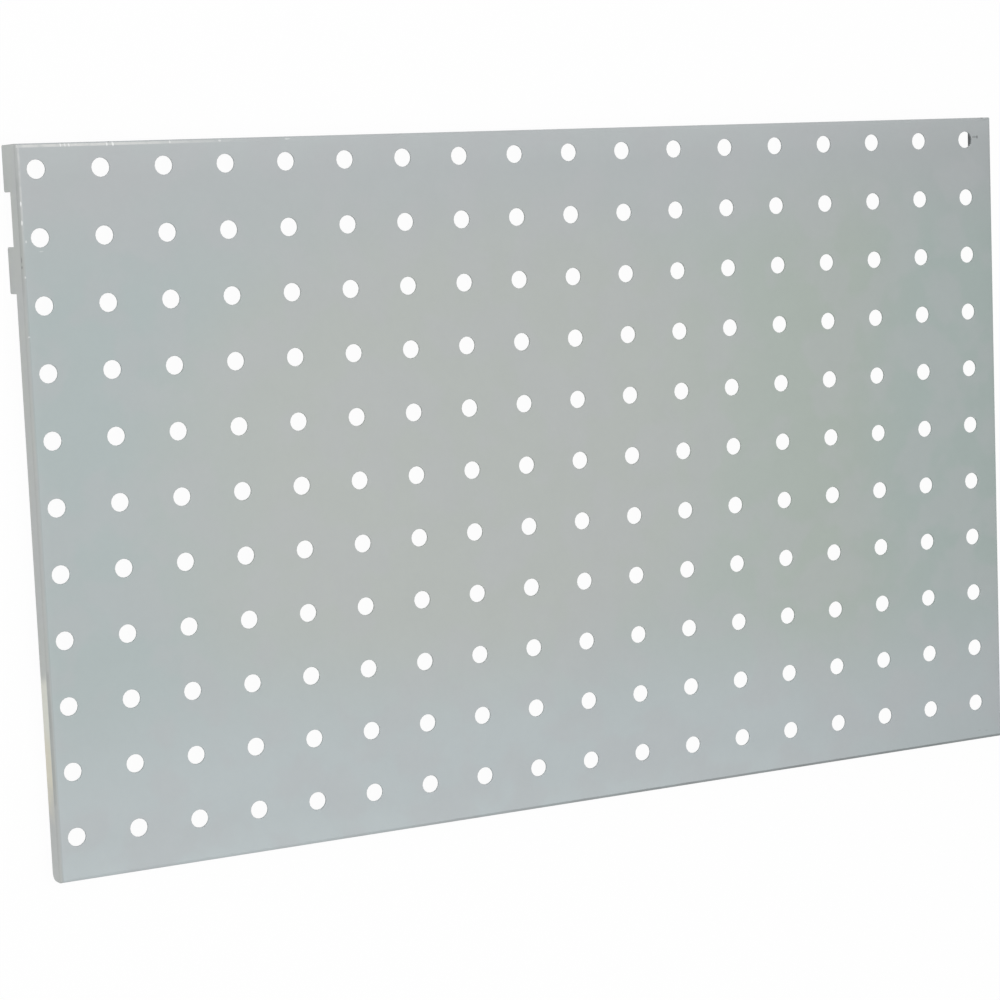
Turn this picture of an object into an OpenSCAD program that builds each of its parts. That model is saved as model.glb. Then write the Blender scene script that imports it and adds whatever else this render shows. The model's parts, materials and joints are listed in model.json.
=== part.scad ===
// Steel pegboard panel: one perforated sheet with folded edges, hung by tabs on its side edges.
// It lies face up. X runs across the panel, Y towards its top edge and Z out of its front face.
// The origin is below the middle of the panel, level with the tips of the hanging tabs.

/* [Panel] */
// Width of the panel across its folded side edges
panel_w = 454; // [250:0.5:920]
// Height of the panel across its folded top and bottom edges
panel_h = 281; // [200:0.5:620]
// Thickness of the sheet
sheet_t = 0.8; // [0.6:0.05:1.5]
// Inside radius of the folds
bend_r = 1; // [0.4:0.1:1.5]
// Depth of the folded edges, from the front face to their rear rim
edge_depth = 9; // [6:0.1:25]
// Gap at each corner between the end of a top or bottom edge and the side edge beside it
corner_gap = 0.5; // [0.2:0.1:1.5]
// Radius of the rear corners at the ends of the side edges
edge_corner_r = 3; // [0.3:0.1:4]

/* [Peg holes] */
// Distance between the centres of neighbouring holes
hole_pitch = 25.4; // [15:0.1:50.8]
// Diameter of a hole
hole_d = 7.3; // [4:0.1:9]
// From the left side of the panel to the centres of the first column
left_margin = 7.6; // [7.6:0.1:20]
// From the top of the panel to the centres of the first row
top_margin = 9.6; // [7.6:0.1:20]
// Least flat metal between a hole and a fold on the right and at the bottom
hole_land = 2; // [0.5:0.1:10]

/* [Hanging tabs] */
// Tabs on each side edge
tab_count = 2; // [1:1:3]
// Distance from one tab to the next, which is the slot pitch of the upright
tab_pitch = 38.1; // [25.4:0.1:76.2]
// Height of a tab, measured along the side edge
tab_h = 17.6; // [8:0.1:24]
// How far a tab stands out behind the rear rim
tab_reach = 7; // [3:0.1:20]
// From the top of the panel to the top of the first tab
tab_top_gap = 0; // [0:0.1:40]
// Radius of a tab's rear corners
tab_corner_r = 0.8; // [0.2:0.1:2.5]

/* [Hidden] */
$fn = 64;

paint_colour = [0.72, 0.75, 0.75];

// Levels above the tips of the tabs
rim_z = tab_reach;
face_z = rim_z + edge_depth;
back_z = face_z - sheet_t;

// A fold is this far across on the outside
fold_r = bend_r + sheet_t;

// The holes start at the top left corner and fill the flat of the panel
hole_edge = fold_r + hole_land + hole_d / 2;
columns = floor((panel_w - left_margin - hole_edge) / hole_pitch) + 1;
rows = floor((panel_h - top_margin - hole_edge) / hole_pitch) + 1;

// Cutting bodies pass the faces that they cut by this much
overcut = 1;

function hole_x(column) = -panel_w / 2 + left_margin + column * hole_pitch;
function hole_y(row) = panel_h / 2 - top_margin - row * hole_pitch;
function tab_top_y(index) = panel_h / 2 - tab_top_gap - index * tab_pitch;

// Upright outline with its two upper corners rounded
module round_shouldered_outline(width, height, radius) {
    shoulder_x = width / 2 - radius;
    translate([-width / 2, 0])
        square([width, height - radius]);
    translate([-shoulder_x, 0])
        square([2 * shoulder_x, height]);
    for (side = [-1, 1])
        translate([side * shoulder_x, height - radius])
            circle(r = radius);
}

// Block whose four upper edges are rounded, as if a sheet were folded down round it
module folded_block(width, length, height, radius) {
    intersection() {
        rotate([90, 0, 0])
            linear_extrude(length, center = true)
                round_shouldered_outline(width, height, radius);
        rotate([90, 0, 90])
            linear_extrude(width, center = true)
                round_shouldered_outline(length, height, radius);
    }
}

// Face and folded edges: the outside of the folded sheet less its inside
module folded_tray() {
    inside_w = panel_w - 2 * sheet_t;
    inside_h = panel_h - 2 * sheet_t;
    inside_depth = edge_depth - sheet_t;
    difference() {
        translate([0, 0, rim_z])
            folded_block(panel_w, panel_h, edge_depth, fold_r);
        translate([0, 0, rim_z - overcut])
            folded_block(inside_w, inside_h, inside_depth + overcut, bend_r);
    }
}

// Slits beside the side edges, where the ends of the top and bottom edges stop short
module corner_slits() {
    slit_x = panel_w / 2 - sheet_t - corner_gap / 2;
    slit_y = panel_h / 2 - sheet_t / 2;
    slit_depth = edge_depth - fold_r;
    for (side = [-1, 1], end = [-1, 1])
        translate([side * slit_x, end * slit_y, rim_z + (slit_depth - overcut) / 2])
            cube([corner_gap, sheet_t + 2 * overcut, slit_depth + overcut], center = true);
}

// Waste outside the rounded rear corners of the side edges
module side_edge_corner_waste() {
    waste = edge_corner_r + overcut;
    waste_w = overcut + sheet_t + corner_gap / 2;
    waste_x = panel_w / 2 + overcut - waste_w / 2;
    for (side = [-1, 1])
        translate([side * waste_x, 0, rim_z + edge_corner_r])
            rotate([90, 0, 90])
                linear_extrude(waste_w, center = true)
                    for (end = [-1, 1])
                        translate([end * (panel_h / 2 - edge_corner_r), 0])
                            difference() {
                                translate([end * waste / 2, -waste / 2])
                                    square(waste, center = true);
                                circle(r = edge_corner_r);
                            }
}

// One tab in the plane of a side edge; the side is -1 on the left and 1 on the right.
// Its root is let into the edge, so that the two are one sheet.
module hanging_tab(side, index) {
    sheet_middle_x = panel_w / 2 - sheet_t / 2;
    root = edge_depth - fold_r;
    translate([side * sheet_middle_x, tab_top_y(index) - tab_h / 2, rim_z + root])
        rotate([-90, 0, 90])
            linear_extrude(sheet_t, center = true)
                round_shouldered_outline(tab_h, tab_reach + root, tab_corner_r);
}

// Columns and rows of round holes through the face
module peg_holes() {
    for (column = [0 : columns - 1], row = [0 : rows - 1])
        translate([hole_x(column), hole_y(row), back_z - overcut])
            cylinder(h = sheet_t + 2 * overcut, d = hole_d);
}

module pegboard_panel() {
    color(paint_colour)
        difference() {
            union() {
                difference() {
                    folded_tray();
                    corner_slits();
                    side_edge_corner_waste();
                }
                for (side = [-1, 1], index = [0 : tab_count - 1])
                    hanging_tab(side, index);
            }
            peg_holes();
        }
}

pegboard_panel();
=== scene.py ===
"""Looks of a steel pegboard panel: one perforated sheet with folded edges, in light grey paint."""

import functools
import json
import math

import bmesh
import bpy
from mathutils import Matrix, Vector


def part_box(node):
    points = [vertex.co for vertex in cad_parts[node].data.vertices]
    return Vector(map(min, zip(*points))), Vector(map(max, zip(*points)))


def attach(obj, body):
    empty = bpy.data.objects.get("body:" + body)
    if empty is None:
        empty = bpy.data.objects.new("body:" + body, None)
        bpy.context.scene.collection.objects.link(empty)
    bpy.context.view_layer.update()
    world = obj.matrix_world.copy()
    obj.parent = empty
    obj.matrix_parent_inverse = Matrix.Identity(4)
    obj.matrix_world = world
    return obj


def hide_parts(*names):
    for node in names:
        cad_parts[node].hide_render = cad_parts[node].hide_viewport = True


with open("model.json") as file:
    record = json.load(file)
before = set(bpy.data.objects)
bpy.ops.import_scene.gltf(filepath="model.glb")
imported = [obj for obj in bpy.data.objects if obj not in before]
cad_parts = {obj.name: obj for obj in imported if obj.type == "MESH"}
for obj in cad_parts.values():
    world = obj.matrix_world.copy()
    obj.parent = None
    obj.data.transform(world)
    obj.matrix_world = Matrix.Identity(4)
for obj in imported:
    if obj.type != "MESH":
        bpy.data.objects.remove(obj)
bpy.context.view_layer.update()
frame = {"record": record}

MM = 0.001

# Sizes of the folded sheet that the frame does not give
BEND_R = 1.0 * MM
EDGE_DEPTH = 9.0 * MM
CORNER_GAP = 0.5 * MM
EDGE_CORNER_R = 3.0 * MM
TAB_H = 17.6 * MM
TAB_CORNER_R = 0.8 * MM
CUT_EDGE_R = 0.16 * MM
CUT_EDGE_ANGLE = math.radians(60)

# How finely the round shapes are cut
HOLE_SEGMENTS = 16
FOLD_STEPS = 8
CORNER_STEPS = 5
CUT_EDGE_STEPS = 1
SAME_PLACE = 0.01 * MM

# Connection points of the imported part, by name
MOUNTS = {mount["name"]: mount for mount in frame["record"]["mounts"]}


def mount_place(name):
    return Vector(MOUNTS[name]["pos_m"])


# The hole grid: its first and last holes, and how many there are each way
COLUMNS = 18
ROWS = 11
FIRST_HOLE = mount_place("peg_hole_c01_r01")
LAST_HOLE = mount_place("peg_hole_c18_r11")
HOLE_PITCH = (LAST_HOLE.x - FIRST_HOLE.x) / (COLUMNS - 1)
HOLE_SIZE = MOUNTS["peg_hole_c01_r01"]["dims"]
HOLE_R = HOLE_SIZE["r_mm"] * MM
SHEET_T = HOLE_SIZE["length_mm"] * MM
TAB_MIDDLES = [mount_place(name).y for name in ("tab_left_lower", "tab_left_upper")]

# Places of the sheet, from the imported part
LOW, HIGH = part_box("pegboard_panel")
HALF_W = (HIGH.x - LOW.x) / 2
HALF_H = (HIGH.y - LOW.y) / 2
FACE_Z = HIGH.z
BACK_Z = FACE_Z - SHEET_T
RIM_Z = FACE_Z - EDGE_DEPTH
TIP_Z = LOW.z
FOLD_R = BEND_R + SHEET_T
FOLD_END_Z = FACE_Z - FOLD_R

# Camera of the photograph, measured from the hole grid
CAMERA_PLACE = Vector((-567.3, 110.8, 1019.8)) * MM
CAMERA_AIM = Vector((-30.6, -34.1, 16.0)) * MM
CAMERA_UP = Vector((0, 1, 0))
CAMERA_ROLL = math.radians(-2.36)
CAMERA_LENS = 100.44
CAMERA_SENSOR = 36.0
CAMERA_SHIFT_Y = 0.06
CAMERA_CLIP_END = 100.0


def add_node(tree, kind, inputs=None, **settings):
    """Add a node to a tree; each input is a value or the socket that feeds it."""
    node = tree.nodes.new(kind)
    for name, value in settings.items():
        setattr(node, name, value)
    for name, value in (inputs or {}).items():
        if isinstance(value, bpy.types.NodeSocket):
            tree.links.new(value, node.inputs[name])
        else:
            node.inputs[name].default_value = value
    return node


def math_node(tree, operation, first, second=None):
    """Output of a Math node with one or two inputs."""
    values = [first] if second is None else [first, second]
    inputs = dict(enumerate(values))
    return add_node(tree, "ShaderNodeMath", inputs, operation=operation).outputs[0]


def vector_sum(tree, first, second):
    return add_node(tree, "ShaderNodeVectorMath", {0: first, 1: second}).outputs[0]


def capture(tree, geometry, name, value, kind="FLOAT"):
    """Keep a field's value on a geometry; returns the geometry and the kept value."""
    node = tree.nodes.new("GeometryNodeCaptureAttribute")
    node.capture_items.new(kind, name)
    tree.links.new(geometry, node.inputs["Geometry"])
    tree.links.new(value, node.inputs[name])
    return node.outputs["Geometry"], node.outputs[name]


# Perforated face

FIELD_INPUTS = {
    "Columns": "NodeSocketInt",
    "Rows": "NodeSocketInt",
    "Pitch": "NodeSocketFloat",
    "Hole radius": "NodeSocketFloat",
    "Hole segments": "NodeSocketInt",
    "First hole": "NodeSocketVector",
    "Field low": "NodeSocketVector",
    "Field high": "NodeSocketVector",
    "Face height": "NodeSocketFloat",
    "Sheet thickness": "NodeSocketFloat",
    "Material": "NodeSocketMaterial",
}
RINGS = 4


def cell_reach(tree, gap_to_field_edge, pitch):
    """Reach of a cell one way: half a pitch, or up to the field's edge if no hole follows."""
    outermost = math_node(tree, "LESS_THAN", gap_to_field_edge, pitch)
    half = math_node(tree, "MULTIPLY", pitch, 0.5)
    mix = add_node(tree, "ShaderNodeMix", {"Factor": outermost, "A": half, "B": gap_to_field_edge})
    return mix.outputs["Result"]


def cell_border(tree, direction, middle, low, high, pitch):
    """One coordinate of a cell's border point, for a direction scaled to the unit square."""
    up = cell_reach(tree, math_node(tree, "SUBTRACT", high, middle), pitch)
    down = cell_reach(tree, math_node(tree, "SUBTRACT", middle, low), pitch)
    upward = math_node(tree, "GREATER_THAN", direction, 0.0)
    reach = add_node(tree, "ShaderNodeMix", {"Factor": upward, "A": down, "B": up})
    return math_node(tree, "MULTIPLY", direction, reach.outputs["Result"])


def perforated_field_tree():
    """Flat sheet with a grid of round holes: one strip of quads round each hole, face and back."""
    tree = bpy.data.node_groups.new("perforated_field", "GeometryNodeTree")
    for name, kind in FIELD_INPUTS.items():
        tree.interface.new_socket(name, in_out="INPUT", socket_type=kind)
    tree.interface.new_socket("Geometry", in_out="OUTPUT", socket_type="NodeSocketGeometry")
    size = tree.nodes.new("NodeGroupInput").outputs
    place = add_node(tree, "GeometryNodeInputPosition").outputs[0]
    place_xyz = add_node(tree, "ShaderNodeSeparateXYZ", {0: place}).outputs

    # A unit strip: X is the turn round the hole, Y runs from the face over the wall to the back
    strip = add_node(tree, "GeometryNodeMeshGrid", {
        "Vertices X": math_node(tree, "ADD", size["Hole segments"], 1.0),
        "Vertices Y": RINGS,
    }).outputs["Mesh"]
    turn = math_node(tree, "MULTIPLY", math_node(tree, "ADD", place_xyz["X"], 0.5), math.tau)
    ring = math_node(tree, "MULTIPLY", math_node(tree, "ADD", place_xyz["Y"], 0.5), RINGS - 1)
    strip, turn = capture(tree, strip, "Turn", turn)
    strip, ring = capture(tree, strip, "Ring", ring)

    # The middles of the holes, from the first one rightwards and downwards
    pitches_across = math_node(tree, "SUBTRACT", size["Columns"], 1.0)
    pitches_up = math_node(tree, "SUBTRACT", size["Rows"], 1.0)
    width = math_node(tree, "MULTIPLY", pitches_across, size["Pitch"])
    height = math_node(tree, "MULTIPLY", pitches_up, size["Pitch"])
    middles = add_node(tree, "GeometryNodeMeshGrid", {
        "Size X": width,
        "Size Y": height,
        "Vertices X": size["Columns"],
        "Vertices Y": size["Rows"],
    }).outputs["Mesh"]
    to_middle = add_node(tree, "ShaderNodeCombineXYZ", {
        "X": math_node(tree, "MULTIPLY", width, 0.5),
        "Y": math_node(tree, "MULTIPLY", height, -0.5),
    }).outputs[0]
    grid_middle = vector_sum(tree, size["First hole"], to_middle)
    hole_middle = vector_sum(tree, place, grid_middle)
    middles, hole_middle = capture(tree, middles, "Hole middle", hole_middle, "VECTOR")
    strips = add_node(tree, "GeometryNodeInstanceOnPoints", {"Points": middles, "Instance": strip})
    sheet = add_node(tree, "GeometryNodeRealizeInstances", {0: strips.outputs[0]}).outputs[0]

    # Bend each strip round its hole: inner rings on the hole, outer rings on the cell's border
    cosine = math_node(tree, "COSINE", turn)
    sine = math_node(tree, "SINE", turn)
    longest = math_node(
        tree, "MAXIMUM", math_node(tree, "ABSOLUTE", cosine), math_node(tree, "ABSOLUTE", sine)
    )
    middle_xyz = add_node(tree, "ShaderNodeSeparateXYZ", {0: hole_middle}).outputs
    low = add_node(tree, "ShaderNodeSeparateXYZ", {0: size["Field low"]}).outputs
    high = add_node(tree, "ShaderNodeSeparateXYZ", {0: size["Field high"]}).outputs
    from_middle = math_node(tree, "ABSOLUTE", math_node(tree, "SUBTRACT", ring, (RINGS - 1) / 2))
    on_hole = math_node(tree, "LESS_THAN", from_middle, 1.0)
    on_back = math_node(tree, "GREATER_THAN", ring, (RINGS - 1) / 2)
    spots = {}
    for axis, direction in (("X", cosine), ("Y", sine)):
        square = math_node(tree, "DIVIDE", direction, longest)
        border = cell_border(tree, square, middle_xyz[axis], low[axis], high[axis], size["Pitch"])
        rim = math_node(tree, "MULTIPLY", direction, size["Hole radius"])
        offset = add_node(tree, "ShaderNodeMix", {"Factor": on_hole, "A": border, "B": rim})
        spots[axis] = math_node(tree, "ADD", middle_xyz[axis], offset.outputs["Result"])
    sunk = math_node(tree, "MULTIPLY", on_back, size["Sheet thickness"])
    spots["Z"] = math_node(tree, "SUBTRACT", size["Face height"], sunk)
    spot = add_node(tree, "ShaderNodeCombineXYZ", spots).outputs[0]
    finish = (
        ("GeometryNodeSetPosition", "Position", spot),
        ("GeometryNodeMergeByDistance", "Distance", SAME_PLACE),
        ("GeometryNodeSetMaterial", "Material", size["Material"]),
    )
    for kind, name, value in finish:
        sheet = add_node(tree, kind, {"Geometry": sheet, name: value}).outputs[0]
    add_node(tree, "NodeGroupOutput", {"Geometry": sheet})
    return tree


def perforated_field(material):
    """Plain mesh of the flat, perforated part of the sheet, open along its four sides."""
    values = {
        "Columns": COLUMNS,
        "Rows": ROWS,
        "Pitch": HOLE_PITCH,
        "Hole radius": HOLE_R,
        "Hole segments": HOLE_SEGMENTS,
        "First hole": (FIRST_HOLE.x, FIRST_HOLE.y, 0.0),
        "Field low": (FOLD_R - HALF_W, FOLD_R - HALF_H, 0.0),
        "Field high": (HALF_W - FOLD_R, HALF_H - FOLD_R, 0.0),
        "Face height": FACE_Z,
        "Sheet thickness": SHEET_T,
        "Material": material,
    }
    maker = bpy.data.objects.new("perforated_field", bpy.data.meshes.new("perforated_field"))
    bpy.context.scene.collection.objects.link(maker)
    modifier = maker.modifiers.new("perforated_field", "NODES")
    modifier.node_group = perforated_field_tree()
    for socket in modifier.node_group.interface.items_tree:
        if socket.in_out == "INPUT":
            modifier[socket.identifier] = values[socket.name]
    evaluated = maker.evaluated_get(bpy.context.evaluated_depsgraph_get())
    mesh = bpy.data.meshes.new_from_object(evaluated)
    bpy.data.objects.remove(maker)
    return mesh


# Folded edges

# Where the quarter rounds of a side edge start: towards the bottom, or towards the rear
BOTTOM_SIDE = math.pi
REAR_SIDE = 1.5 * math.pi


def near(first, second):
    return abs(first - second) < SAME_PLACE


def fold_over(bm, level, radius):
    """Carry the open edges at this level outwards and down through a quarter-round fold."""
    half = Vector((HALF_W - FOLD_R, HALF_H - FOLD_R))
    loop = [e for e in bm.edges if e.is_boundary and all(near(v.co.z, level) for v in e.verts)]
    out = 0.0
    for step in range(1, FOLD_STEPS + 1):
        made = bmesh.ops.extrude_edge_only(bm, edges=loop)["geom"]
        verts = {item for item in made if isinstance(item, bmesh.types.BMVert)}
        loop = [item for item in made if isinstance(item, bmesh.types.BMEdge)]
        angle = step / FOLD_STEPS * math.pi / 2
        next_out = radius * math.sin(angle)
        for vert in verts:
            for axis in (0, 1):
                if near(abs(vert.co[axis]), half[axis] + out):
                    vert.co[axis] = math.copysign(half[axis] + next_out, vert.co[axis])
            vert.co.z = level - radius * (1 - math.cos(angle))
        out = next_out


class Spots:
    """The sheet's points by their place, so that faces can share them."""

    def __init__(self, bm):
        self.bm = bm
        self.by_place = {self.key(v.co): v for v in bm.verts}

    @staticmethod
    def key(place):
        return tuple(round(value / SAME_PLACE) for value in place)

    def at(self, *place):
        key = self.key(place)
        if key not in self.by_place:
            self.by_place[key] = self.bm.verts.new(place)
        return self.by_place[key]

    def face(self, *places):
        return self.bm.faces.new([self.at(*place) for place in places])


def split_fold_end(bm, x, y):
    """Put a point on the open edge that passes through this place at the end of the folds."""
    for edge in bm.edges:
        if not edge.is_boundary:
            continue
        first, second = (v.co for v in edge.verts)
        on_line = near(first.y, y) and near(second.y, y)
        if on_line and min(first.x, second.x) < x < max(first.x, second.x):
            share = (x - first.x) / (second.x - first.x)
            bmesh.utils.edge_split(edge, edge.verts[0], share)
            return


def run_along(bm, axis, value, reach):
    """Points at the end of the folds that share one coordinate, in order along the other one."""
    other = 1 - axis
    run = [
        v for v in bm.verts
        if near(v.co.z, FOLD_END_Z)
        and near(v.co[axis], value)
        and abs(v.co[other]) < reach + SAME_PLACE
    ]
    return sorted(run, key=lambda v: v.co[other])


def quarter_arc(middle_y, middle_z, radius, start):
    """Points (y, z) of a quarter round in the plane of a side edge, from a start angle on."""
    angles = [start + step / CORNER_STEPS * math.pi / 2 for step in range(CORNER_STEPS + 1)]
    return [
        (middle_y + radius * math.cos(angle), middle_z + radius * math.sin(angle))
        for angle in angles
    ]


def side_outline():
    """Rear outline of a side edge with its hanging tabs: (y, z) from the bottom to the top."""
    corner_y, corner_z = EDGE_CORNER_R - HALF_H, RIM_Z + EDGE_CORNER_R
    points = quarter_arc(corner_y, corner_z, EDGE_CORNER_R, BOTTOM_SIDE)
    for middle in TAB_MIDDLES:
        low, high = middle - TAB_H / 2, middle + TAB_H / 2
        tip_corner_z = TIP_Z + TAB_CORNER_R
        points.append((low, RIM_Z))
        points += quarter_arc(low + TAB_CORNER_R, tip_corner_z, TAB_CORNER_R, BOTTOM_SIDE)
        points += quarter_arc(high - TAB_CORNER_R, tip_corner_z, TAB_CORNER_R, REAR_SIDE)
        points.append((high, RIM_Z))
    # The upper tab is flush with the end of the side edge, so the outline stops at the tab
    return points[:-1]


def flat_edge(bm, outer_top, inner_top, outer_rear, inner_rear):
    """Flat part of a folded edge, between the end of its fold and its rear outline."""
    bm.faces.new(outer_top + outer_rear[::-1])
    bm.faces.new(inner_top + inner_rear[::-1])
    for index in range(len(outer_rear) - 1):
        here, there = index, index + 1
        bm.faces.new((outer_rear[here], outer_rear[there], inner_rear[there], inner_rear[here]))
    for end in (0, -1):
        bm.faces.new((outer_top[end], outer_rear[end], inner_rear[end], inner_top[end]))


def add_folded_edges(bm):
    """Folds round the perforated field, and the flat edges behind them."""
    fold_over(bm, FACE_Z, FOLD_R)
    fold_over(bm, BACK_Z, BEND_R)
    inner_w = HALF_W - SHEET_T
    inner_h = HALF_H - SHEET_T
    slit_w = inner_w - CORNER_GAP
    for side in (-1, 1):
        for end in (-1, 1):
            split_fold_end(bm, side * inner_w, end * HALF_H)
            split_fold_end(bm, side * slit_w, end * HALF_H)
            split_fold_end(bm, side * slit_w, end * inner_h)
    spots = Spots(bm)
    for side in (-1, 1):
        outer_x, inner_x = side * HALF_W, side * inner_w
        outline = side_outline()
        flat_edge(
            bm,
            run_along(bm, 0, outer_x, HALF_H),
            run_along(bm, 0, inner_x, HALF_H),
            [spots.at(outer_x, y, z) for y, z in outline],
            [spots.at(inner_x, y, z) for y, z in outline],
        )
    for end in (-1, 1):
        outer_y, inner_y = end * HALF_H, end * inner_h
        flat_edge(
            bm,
            run_along(bm, 1, outer_y, slit_w),
            run_along(bm, 1, inner_y, slit_w),
            [spots.at(x, outer_y, RIM_Z) for x in (-slit_w, slit_w)],
            [spots.at(x, inner_y, RIM_Z) for x in (-slit_w, slit_w)],
        )
    for side in (-1, 1):
        for end in (-1, 1):
            spots.face(
                (side * inner_w, end * HALF_H, FOLD_END_Z),
                (side * slit_w, end * HALF_H, FOLD_END_Z),
                (side * slit_w, end * inner_h, FOLD_END_Z),
                (side * inner_w, end * inner_h, FOLD_END_Z),
            )


def folded_sheet(material):
    """The whole sheet as one closed mesh, with its cut edges slightly rounded."""
    mesh = perforated_field(material)
    bm = bmesh.new()
    bm.from_mesh(mesh)
    add_folded_edges(bm)
    bmesh.ops.recalc_face_normals(bm, faces=bm.faces)
    for face in bm.faces:
        face.smooth = True
        face.material_index = 0
    bm.to_mesh(mesh)
    bm.free()
    mesh.name = "folded_sheet"
    mesh.materials.clear()
    mesh.materials.append(material)
    sheet = bpy.data.objects.new("folded_sheet", mesh)
    bpy.context.scene.collection.objects.link(sheet)
    bevel = sheet.modifiers.new("cut_edges", "BEVEL")
    bevel.width = CUT_EDGE_R
    bevel.segments = CUT_EDGE_STEPS
    bevel.limit_method = "ANGLE"
    bevel.angle_limit = CUT_EDGE_ANGLE
    bevel.harden_normals = True
    evaluated = sheet.evaluated_get(bpy.context.evaluated_depsgraph_get())
    finished = bpy.data.meshes.new_from_object(evaluated)
    sheet.modifiers.clear()
    sheet.data = finished
    return sheet


# Paint

# Greys of the coat: as mixed; as changed in the middle and towards the edges, partly painted light
# and shade; and in patches
GREY = (0.402, 0.458, 0.457, 1)
MIDDLE_GREY = (0.437, 0.465, 0.446, 1)
RIGHT_GREY = (0.406, 0.457, 0.421, 1)
FAR_RIGHT_GREY = (0.397, 0.464, 0.445, 1)
LOWER_LIT_GREY = (0.452, 0.499, 0.509, 1)
UPPER_GREY = (0.433, 0.462, 0.467, 1)
LEFT_EDGE_LIT_GREY = (0.454, 0.475, 0.461, 1)
PATCH_GREY = (0.448, 0.461, 0.473, 1)

# Where the greys drift: from the start of a change to its end
WARM_SHEEN_MIDDLE = (-27 * MM, 20 * MM, 0.0)
WARM_SHEEN_REACH = (170 * MM, 150 * MM, 1.0)
WARM_SHEEN_RIM = (1.1, 0.56)
RIGHT_DRIFT = (20 * MM, 130 * MM)
FAR_RIGHT_DRIFT = (140 * MM, 195 * MM)
RIGHT_PAINTED_SHADE_DRIFT = (62 * MM, 280 * MM)
LOWER_LIT_DRIFT = (-50 * MM, -120 * MM)
UPPER_DRIFT = (75 * MM, 132 * MM)
PALE_TOP_DRIFT = (124 * MM, 140 * MM)
PALE_BOTTOM_DRIFT = (-124 * MM, -140 * MM)
PALE_BOTTOM_END_DRIFT = (190 * MM, 100 * MM)
LEFT_EDGE_LIT_DRIFT = (0.2, 0.8)

# Painted shade: how much darker the coat is to the right, where less light falls; and how much
# paler along the top and bottom
RIGHT_PAINTED_SHADE = 0.086
PALE_RIM_GAIN = 0.05

# Sizes of the coat's clouds, patches, blots, streaks, grain and orange peel, and their fineness
CLOUD_SIZE = 110 * MM
PATCH_SIZE = 22 * MM
BLOT_SIZE = 12 * MM
STREAK_SIZE = 4 * MM
GRAIN_SIZE = 2.5 * MM
PEEL_SIZE = 1.2 * MM
PEEL_DEPTH = 0.02 * MM
CLOUD_DETAIL = 2.0
BLOT_DETAIL = 3.0
PEEL_DETAIL = 1.0

# How strongly the clouds, patches, blots and grain show, and how matt the coat is
CLOUD_SPREAD = 0.5
CLOUD_SHIFT = 60 * MM
PATCH_RANGE = (0.45, 0.6)
PATCH_SHARE = 0.35
BLOT_SHADE = 0.05
GRAIN_SHADE = 0.03
ROUGHNESS = 0.53
BLOT_ROUGHNESS = 0.14
SHINE = 0.3
PEEL_STRENGTH = 0.2

# Darkening on the folds, painted shade on the bottom one: part of the fold, from 0 on the face to 1
# on the outside, and how dark
LEFT_DARKENING_BAND = (0.35, 0.95)
LEFT_FOLD_DARKENING = 0.1
DARKER_STRETCH_BAND = (0.72, 0.98)
# Painted shade in the turn of the bottom fold, which faces away from the light
BOTTOM_SHADE_BAND = (0.34, 1.0)
BOTTOM_FOLD_SHADE = 0.4

# Where the painted shade gathers along the bottom fold, where the darkening ends below the folds,
# and how uneven it is
BOTTOM_SHADE_DRIFT = (-170 * MM, 90 * MM)
FOLD_DARKENING_DEPTH = (FOLD_END_Z - 0.4 * MM, FOLD_END_Z)
FOLD_DARKENING_LEAST = 0.6
FOLD_DARKENING_BLOTS = 0.8

# Soft margin of the darkened bands and of the worn, highlit bands, as a part of the fold
FOLD_SOFTNESS = 0.16

# Darker stretches of the left fold: from, to in millimetres, and how dark
LEFT_DARKER_STRETCHES = (
    (86, 126, 0.17),
    (-108, -60, 0.21),
)
STRETCH_SOFTNESS = 5 * MM

# Paint worn thin along the folds, together with a painted highlight there
WORN_HIGHLIGHT_GREY = (0.64, 0.65, 0.64, 1)
TOP_WORN_HIGHLIGHT_BAND = (0.25, 0.75)
TOP_WORN_HIGHLIGHT_DRIFT = (-120 * MM, -190 * MM)
LEFT_WORN_HIGHLIGHT_BAND = (0.3, 0.5)
LEFT_WORN_HIGHLIGHT_DRIFT = (84 * MM, 130 * MM)
LEFT_WORN_HIGHLIGHT_SHARE = 0.55
WORN_HIGHLIGHT_DEPTH = (FACE_Z - 0.7 * MM, FACE_Z - 0.5 * MM)
STREAK_RANGE = (0.25, 0.55)
STREAK_LEAST = 0.4

# A painted reflection on the outside of the left edge, pale above and warmer below
REFLECTED_PALE = (0.66, 0.67, 0.607, 1)
REFLECTED_WARM = (0.644, 0.622, 0.522, 1)
REFLECTION_TOP_DRIFT = (-57 * MM, -68 * MM)
REFLECTION_END_DRIFT = (-118 * MM, -98 * MM)
REFLECTION_WARM_DRIFT = (-78 * MM, -95 * MM)
REFLECTION_FOLD_RISE = (0.86, 0.94)
REFLECTION_DEPTH = (FOLD_END_Z + 0.1 * MM, FOLD_END_Z - 1.2 * MM)
REFLECTION_RAGGED = 20 * MM

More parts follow.
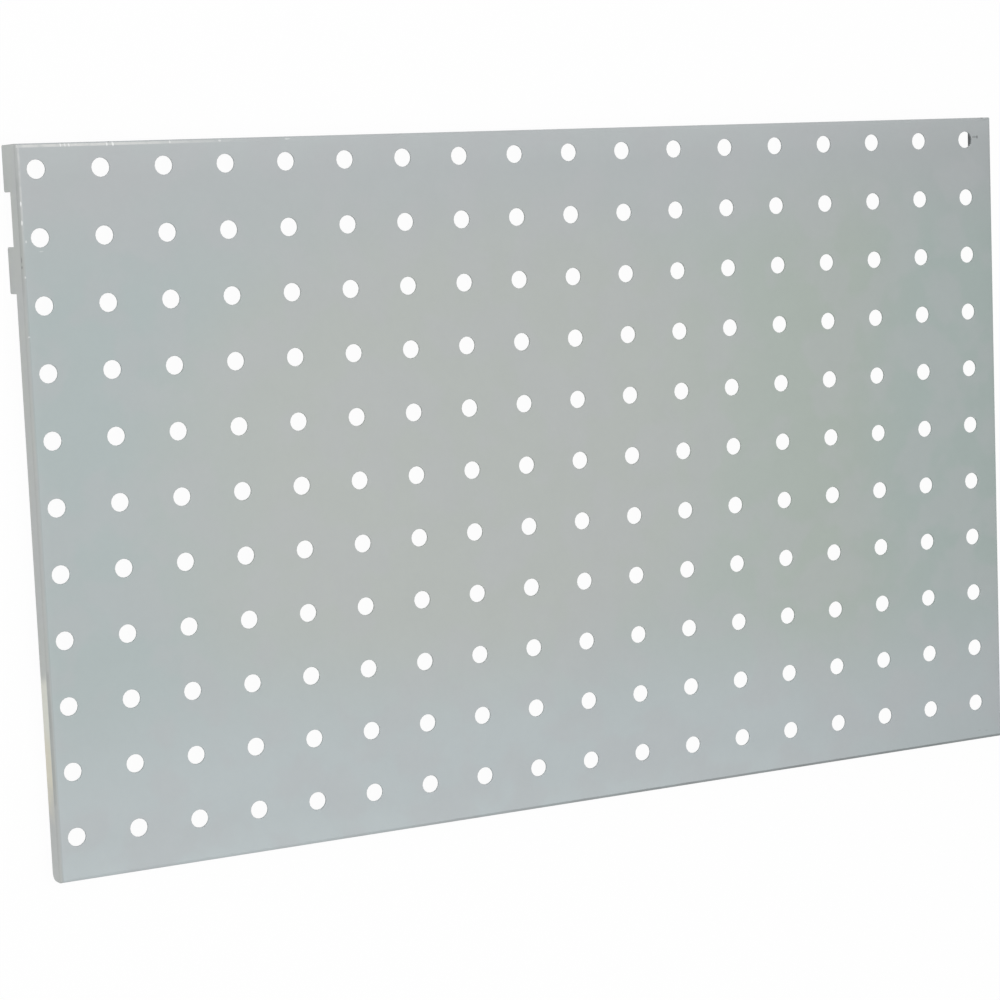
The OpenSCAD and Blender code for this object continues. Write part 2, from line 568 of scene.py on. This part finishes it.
# Marks on the folds, in millimetres: place along the fold, half length, half width; and how strong
MARK_PALE = (0.85, 0.86, 0.85, 1)
MARK_DARK = (0.10, 0.105, 0.105, 1)
MARK_RIM = (1.15, 0.6)
MARK_RAGGED = 0.9
LIGHT_MARK_TURN = math.radians(30)
DARK_MARK_TURN = math.radians(68)
LEFT_FOLD_LIGHT_MARKS = (
    (118.3, 1.1, 0.3, 0.9),
    (111.2, 1.1, 0.3, 0.7),
    (91.0, 0.5, 0.35, 0.5),
    (68.8, 0.35, 0.5, 0.4),
)
LEFT_FOLD_DARK_MARKS = (
    (97.4, 1.3, 0.35, 0.45),
    (94.8, 0.6, 0.45, 0.55),
)
TOP_FOLD_LIGHT_MARKS = (
    (-209.3, 0.3, 0.8, 0.8),
    (-207.6, 0.3, 0.8, 0.6),
    (-206.0, 0.3, 0.8, 0.8),
    (-191.0, 0.35, 0.9, 0.8),
    (-188.6, 0.5, 0.9, 0.9),
    (-165.5, 0.4, 0.7, 0.6),
    (-145.0, 0.6, 0.45, 0.5),
    (-116.5, 1.4, 0.4, 0.4),
)
TOP_FOLD_DARK_MARKS = (
    (-208.4, 0.3, 0.4, 0.4),
    (-190.0, 0.4, 0.5, 0.6),
    (222.5, 0.8, 0.5, 0.9),
)

# Marks on the face, in millimetres: place across and up, half length, half width; and how strong
FACE_LIGHT_MARKS = (
    (-225.0, 104.2, 0.4, 0.6, 0.4),
    (-219.3, 100.4, 0.9, 0.25, 0.25),
)
FACE_DARK_MARKS = (
    (217.6, 132.0, 1.5, 0.45, 0.4),
    (219.0, 131.9, 0.45, 0.8, 0.75),
    (214.0, -136.2, 0.9, 0.25, 0.15),
    (218.0, -136.7, 0.9, 0.25, 0.15),
)


def fold_point(turn):
    """How far in from the outside, and how high, a fold lies at a turn away from the face."""
    return FOLD_R * (1 - math.sin(turn)), FACE_Z - FOLD_R * (1 - math.cos(turn))


def left_fold_mark(along, length, width, strength, turn):
    """Middle, reach and strength of a mark on the left fold, at a turn away from the face."""
    inwards, height = fold_point(turn)
    middle = (inwards - HALF_W, along * MM, height)
    return middle, (width * MM, length * MM, width * MM), strength


def top_fold_mark(along, length, width, strength, turn):
    """Middle, reach and strength of a mark on the top fold, at a turn away from the face."""
    inwards, height = fold_point(turn)
    middle = (along * MM, HALF_H - inwards, height)
    return middle, (length * MM, width * MM, width * MM), strength


def face_mark(across, up, length, width, strength):
    return (across * MM, up * MM, FACE_Z), (length * MM, width * MM, width * MM), strength


# Sockets of a Mix node that mixes colours: how much of the second, both colours, and their mix
MIX_SHARE, MIX_FIRST, MIX_SECOND, MIX_RESULT = 0, 6, 7, 2


class Coat:
    """A coat of paint in the making: its nodes, the fields its layers share, and its colour."""

    def __init__(self, tree):
        self.tree = tree
        self.place = add_node(tree, "ShaderNodeTexCoord").outputs["Object"]
        axes = add_node(tree, "ShaderNodeSeparateXYZ", {0: self.place}).outputs
        self.x, self.y, self.z = axes["X"], axes["Y"], axes["Z"]
        self.left_fold = self.fold_share(self.x, -HALF_W)
        self.top_fold = self.fold_share(self.y, HALF_H)
        self.bottom_fold = self.fold_share(self.y, -HALF_H)
        self.blots = self.noise(BLOT_SIZE, BLOT_DETAIL)
        self.colour = GREY

    def noise(self, size, detail=CLOUD_DETAIL):
        """Clouds from 0 to 1, with blots of about this size."""
        inputs = {"Vector": self.place, "Scale": 1 / size, "Detail": detail}
        return add_node(self.tree, "ShaderNodeTexNoise", inputs).outputs[0]

    def combined(self, operation, values):
        """Join values by a Math node for each pair, from the first one on."""
        return functools.reduce(functools.partial(math_node, self.tree, operation), values)

    def total(self, *values):
        return self.combined("ADD", values)

    def product(self, *values):
        return self.combined("MULTIPLY", values)

    def strongest(self, values):
        return self.combined("MAXIMUM", values)

    def weighted(self, value, weight, base=0.0):
        """A value times a weight plus a base."""
        inputs = {0: value, 1: weight, 2: base}
        return add_node(self.tree, "ShaderNodeMath", inputs, operation="MULTIPLY_ADD").outputs[0]

    def around_zero(self, value, reach):
        """A cloud from 0 to 1, spread evenly about zero instead."""
        return self.weighted(value, reach, -reach / 2)

    def rise(self, value, start, end):
        """0 before a stretch and 1 after it, smooth between; the end may lie below the start."""
        inputs = {"Value": value, "From Min": start, "From Max": end}
        node = add_node(self.tree, "ShaderNodeMapRange", inputs, interpolation_type="SMOOTHSTEP")
        return node.outputs["Result"]

    def band(self, value, start, end, soft):
        """1 along a stretch, falling to 0 over a soft margin on both sides."""
        return self.product(
            self.rise(value, start - soft, start),
            self.rise(value, end + soft, end),
        )

    def distance(self, middle, reach):
        """Distance from a middle, as a share of the reach along each axis."""
        scale = [1 / value for value in reach]
        offset = [-value * factor for value, factor in zip(middle, scale)]
        inputs = {"Vector": self.place, "Location": offset, "Scale": scale}
        mapped = add_node(self.tree, "ShaderNodeMapping", inputs).outputs[0]
        length = add_node(self.tree, "ShaderNodeVectorMath", {0: mapped}, operation="LENGTH")
        return length.outputs["Value"]

    def fold_share(self, coordinate, outside):
        """How much of a fold is crossed: 0 where it leaves the face, 1 at the outside."""
        inwards = math_node(self.tree, "SUBTRACT", outside, coordinate)
        return self.weighted(inwards, math.copysign(1 / FOLD_R, -outside), 1.0)

    def blend(self, share, first, second):
        """Mix of two colours: the first where the share is 0, the second where it is 1."""
        inputs = {MIX_SHARE: share, MIX_FIRST: first, MIX_SECOND: second}
        return add_node(self.tree, "ShaderNodeMix", inputs, data_type="RGBA").outputs[MIX_RESULT]

    def tint(self, mask, other):
        """Mix another colour into the coat where a mask says so."""
        self.colour = self.blend(mask, self.colour, other)

    def shade(self, gain):
        """Make the coat lighter or darker by a factor."""
        inputs = {0: self.colour, "Scale": gain}
        scaled = add_node(self.tree, "ShaderNodeVectorMath", inputs, operation="SCALE")
        self.colour = scaled.outputs[0]

    def drift(self):
        """Drift of the grey: warmer middle, partly a painted sheen; painted shade to the right;
        paler along top and bottom.
        """
        clouds = self.around_zero(self.noise(CLOUD_SIZE), CLOUD_SPREAD)
        from_middle = self.total(self.distance(WARM_SHEEN_MIDDLE, WARM_SHEEN_REACH), clouds)
        across = self.weighted(clouds, CLOUD_SHIFT, self.x)
        up = self.weighted(clouds, CLOUD_SHIFT, self.y)
        painted_shade = self.rise(across, *RIGHT_PAINTED_SHADE_DRIFT)
        pale_top = self.rise(self.y, *PALE_TOP_DRIFT)
        pale_bottom = self.product(
            self.rise(self.y, *PALE_BOTTOM_DRIFT),
            self.rise(self.x, *PALE_BOTTOM_END_DRIFT),
        )
        # A warmer grey in the middle: partly the coat's own tone, partly a painted warm sheen
        self.tint(self.rise(from_middle, *WARM_SHEEN_RIM), MIDDLE_GREY)
        self.tint(self.rise(across, *RIGHT_DRIFT), RIGHT_GREY)
        self.tint(self.rise(across, *FAR_RIGHT_DRIFT), FAR_RIGHT_GREY)
        # Painted light: the coat lighter and bluer towards the bottom, where more light falls
        self.tint(self.rise(up, *LOWER_LIT_DRIFT), LOWER_LIT_GREY)
        self.tint(self.rise(up, *UPPER_DRIFT), UPPER_GREY)
        # Painted light: the left fold and edge a lighter, warmer grey, as lit from the left
        self.tint(self.rise(self.left_fold, *LEFT_EDGE_LIT_DRIFT), LEFT_EDGE_LIT_GREY)
        # Painted shade: the coat darker to the right, where less light falls
        self.shade(self.weighted(painted_shade, -RIGHT_PAINTED_SHADE, 1.0))
        self.shade(self.weighted(self.strongest([pale_top, pale_bottom]), PALE_RIM_GAIN, 1.0))

    def mottle(self):
        """Uneven colour in patches, and uneven coverage in blots and in a finer grain."""
        patches = self.rise(self.noise(PATCH_SIZE), *PATCH_RANGE)
        self.tint(self.product(patches, PATCH_SHARE), PATCH_GREY)
        coverage = self.total(self.around_zero(self.blots, BLOT_SHADE), 1.0)
        grain = self.around_zero(self.noise(GRAIN_SIZE), GRAIN_SHADE)
        self.shade(self.total(grain, coverage))

    def darken_folds(self):
        """Painted shade on the bottom fold, and a darker band on the left one, where some stretches
        are darker.
        """
        above_fold_end = self.rise(self.z, *FOLD_DARKENING_DEPTH)
        outer = self.band(self.left_fold, *DARKER_STRETCH_BAND, FOLD_SOFTNESS)
        # Painted shade along the bottom fold, which turns away from the light
        bottom = self.product(
            self.band(self.bottom_fold, *BOTTOM_SHADE_BAND, FOLD_SOFTNESS),
            self.rise(self.x, *BOTTOM_SHADE_DRIFT),
            BOTTOM_FOLD_SHADE,
        )
        left = self.product(self.band(self.left_fold, *LEFT_DARKENING_BAND, FOLD_SOFTNESS), LEFT_FOLD_DARKENING)
        layers = [bottom, left]
        for low, high, amount in LEFT_DARKER_STRETCHES:
            stretch = self.band(self.y, low * MM, high * MM, STRETCH_SOFTNESS)
            layers.append(self.product(outer, stretch, amount))
        uneven = self.weighted(self.blots, FOLD_DARKENING_BLOTS, FOLD_DARKENING_LEAST)
        darkening = self.product(self.strongest(layers), above_fold_end, uneven)
        self.shade(self.weighted(darkening, -1.0, 1.0))

    def worn_and_highlit_folds(self):
        """Paint worn thin, with a painted highlight, high on the left fold and along the left part
        of the top fold.
        """
        outside = self.rise(self.z, *WORN_HIGHLIGHT_DEPTH)
        streaks = self.rise(self.noise(STREAK_SIZE), *STREAK_RANGE)
        uneven = self.weighted(streaks, 1 - STREAK_LEAST, STREAK_LEAST)
        top = self.product(
            self.band(self.top_fold, *TOP_WORN_HIGHLIGHT_BAND, FOLD_SOFTNESS),
            self.rise(self.x, *TOP_WORN_HIGHLIGHT_DRIFT),
        )
        left = self.product(
            self.band(self.left_fold, *LEFT_WORN_HIGHLIGHT_BAND, FOLD_SOFTNESS),
            self.rise(self.y, *LEFT_WORN_HIGHLIGHT_DRIFT),
            LEFT_WORN_HIGHLIGHT_SHARE,
        )
        self.tint(self.product(self.strongest([left, top]), outside, uneven), WORN_HIGHLIGHT_GREY)

    def reflection_on_edge(self):
        """A pale painted reflection low on the outside of the left edge, warmer at its lower end.
        """
        along = self.total(self.y, self.around_zero(self.blots, REFLECTION_RAGGED))
        reflection = self.product(
            self.rise(along, *REFLECTION_TOP_DRIFT),
            self.rise(along, *REFLECTION_END_DRIFT),
            self.rise(self.left_fold, *REFLECTION_FOLD_RISE),
            self.rise(self.z, *REFLECTION_DEPTH),
        )
        warm = self.rise(along, *REFLECTION_WARM_DRIFT)
        self.tint(reflection, self.blend(warm, REFLECTED_PALE, REFLECTED_WARM))

    def marks(self, marks, colour):
        """Small ragged marks of another colour, each with its middle, reach and strength."""
        ragged = self.around_zero(self.noise(PEEL_SIZE), MARK_RAGGED)
        masks = []
        for middle, reach, strength in marks:
            distance = self.total(self.distance(middle, reach), ragged)
            masks.append(self.product(self.rise(distance, *MARK_RIM), strength))
        self.tint(self.strongest(masks), colour)


def grey_paint():
    """Light grey paint on sheet steel, a little uneven, with wear and darkening on its folds, and
    painted light, shade, highlight and reflection.
    """
    material = bpy.data.materials.new("grey_paint")
    material.use_nodes = True
    tree = material.node_tree
    shader = tree.nodes["Principled BSDF"]
    coat = Coat(tree)
    coat.drift()
    coat.mottle()
    coat.darken_folds()
    coat.worn_and_highlit_folds()
    coat.reflection_on_edge()
    light_marks = [left_fold_mark(*mark, LIGHT_MARK_TURN) for mark in LEFT_FOLD_LIGHT_MARKS]
    light_marks += [top_fold_mark(*mark, LIGHT_MARK_TURN) for mark in TOP_FOLD_LIGHT_MARKS]
    light_marks += [face_mark(*mark) for mark in FACE_LIGHT_MARKS]
    coat.marks(light_marks, MARK_PALE)
    dark_marks = [left_fold_mark(*mark, DARK_MARK_TURN) for mark in LEFT_FOLD_DARK_MARKS]
    dark_marks += [top_fold_mark(*mark, DARK_MARK_TURN) for mark in TOP_FOLD_DARK_MARKS]
    dark_marks += [face_mark(*mark) for mark in FACE_DARK_MARKS]
    coat.marks(dark_marks, MARK_DARK)
    bump = add_node(tree, "ShaderNodeBump", {
        "Strength": PEEL_STRENGTH,
        "Distance": PEEL_DEPTH,
        "Height": coat.noise(PEEL_SIZE, PEEL_DETAIL),
    })
    tree.links.new(coat.colour, shader.inputs["Base Color"])
    tree.links.new(coat.weighted(coat.blots, BLOT_ROUGHNESS, ROUGHNESS), shader.inputs["Roughness"])
    tree.links.new(bump.outputs[0], shader.inputs["Normal"])
    shader.inputs["Specular IOR Level"].default_value = SHINE
    return material


# Stage

WHITE = (1, 1, 1, 1)
FLOOR_WHITE = (0.85, 0.85, 0.85, 1)
FLOOR_GLOW = 0.97
FLOOR_REACH = 30.0
ROOM_LIGHT = 0.53

# Softboxes, in metres: place, point they are aimed at and width; and power in watts
SOFTBOXES = {
    "key_softbox": ((-0.19, 0.0, 1.0), (-0.06, 0.0, FACE_Z), 0.5, 4.65),
    "side_softbox": ((-2.4, 0.1, 0.25), (-0.2, 0.0, FACE_Z), 0.4, 9.5),
    "top_softbox": ((0.0, 2.4, 0.25), (0.0, 0.1, FACE_Z), 0.4, 9.0),
}
SOFTBOX_UP = Vector((1, 0, 0))


def in_view(tree):
    """1 for what the camera sees, directly or in gloss and glass; 0 for light on surfaces."""
    path = add_node(tree, "ShaderNodeLightPath").outputs
    mirrored = math_node(tree, "MAXIMUM", path["Is Glossy Ray"], path["Is Transmission Ray"])
    return math_node(tree, "MAXIMUM", path["Is Camera Ray"], mirrored)


def white_floor():
    """Matt white paper, which glows in the camera's view and still shows a light shadow there."""
    material = bpy.data.materials.new("white_floor")
    material.use_nodes = True
    tree = material.node_tree
    tree.nodes.clear()
    share = math_node(tree, "MULTIPLY", in_view(tree), FLOOR_GLOW)
    paper = add_node(tree, "ShaderNodeBsdfDiffuse", {"Color": FLOOR_WHITE})
    glow = add_node(tree, "ShaderNodeEmission", {"Color": WHITE, "Strength": 1.0})
    mix = add_node(tree, "ShaderNodeMixShader", {0: share, 1: paper.outputs[0], 2: glow.outputs[0]})
    add_node(tree, "ShaderNodeOutputMaterial", {"Surface": mix.outputs[0]})
    return material


def add_floor():
    signs = ((-1, -1), (1, -1), (1, 1), (-1, 1))
    corners = [(across * FLOOR_REACH, along * FLOOR_REACH, TIP_Z) for across, along in signs]
    mesh = bpy.data.meshes.new("floor")
    mesh.from_pydata(corners, [], [(0, 1, 2, 3)])
    mesh.materials.append(white_floor())
    floor = bpy.data.objects.new("floor", mesh)
    bpy.context.scene.collection.objects.link(floor)


def add_world():
    """Even light from all round, with white behind the object in the camera's view."""
    world = bpy.data.worlds.new("studio")
    bpy.context.scene.world = world
    world.use_nodes = True
    tree = world.node_tree
    tree.nodes.clear()
    room = add_node(tree, "ShaderNodeBackground", {"Color": WHITE, "Strength": ROOM_LIGHT})
    white = add_node(tree, "ShaderNodeBackground", {"Color": WHITE, "Strength": 1.0})
    inputs = {0: in_view(tree), 1: room.outputs[0], 2: white.outputs[0]}
    mix = add_node(tree, "ShaderNodeMixShader", inputs)
    add_node(tree, "ShaderNodeOutputWorld", {"Surface": mix.outputs[0]})


def look_at(place, target, up_hint):
    """Turn and place for a camera or lamp that looks from a place at a target."""
    back = (place - target).normalized()
    right = up_hint.cross(back).normalized()
    up = back.cross(right)
    turn = Matrix((right, up, back)).transposed().to_4x4()
    return Matrix.Translation(place) @ turn


def add_softbox(name, place, target, size, watts):
    lamp = bpy.data.lights.new(name, "AREA")
    lamp.shape = "SQUARE"
    lamp.size = size
    lamp.energy = watts
    box = bpy.data.objects.new(name, lamp)
    box.visible_camera = False
    box.matrix_world = look_at(Vector(place), Vector(target), SOFTBOX_UP)
    bpy.context.scene.collection.objects.link(box)


def add_camera():
    lens = bpy.data.cameras.new("camera")
    lens.lens = CAMERA_LENS
    lens.sensor_width = CAMERA_SENSOR
    lens.shift_y = CAMERA_SHIFT_Y
    lens.clip_end = CAMERA_CLIP_END
    camera = bpy.data.objects.new("camera", lens)
    roll = Matrix.Rotation(CAMERA_ROLL, 4, "Z")
    camera.matrix_world = look_at(CAMERA_PLACE, CAMERA_AIM, CAMERA_UP) @ roll
    bpy.context.scene.collection.objects.link(camera)
    bpy.context.scene.camera = camera


paint = grey_paint()
panel = folded_sheet(paint)
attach(panel, "root")
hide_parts("pegboard_panel")

add_floor()
add_world()
for softbox, settings in SOFTBOXES.items():
    add_softbox(softbox, *settings)
add_camera()
bpy.context.scene.view_settings.view_transform = "Standard"
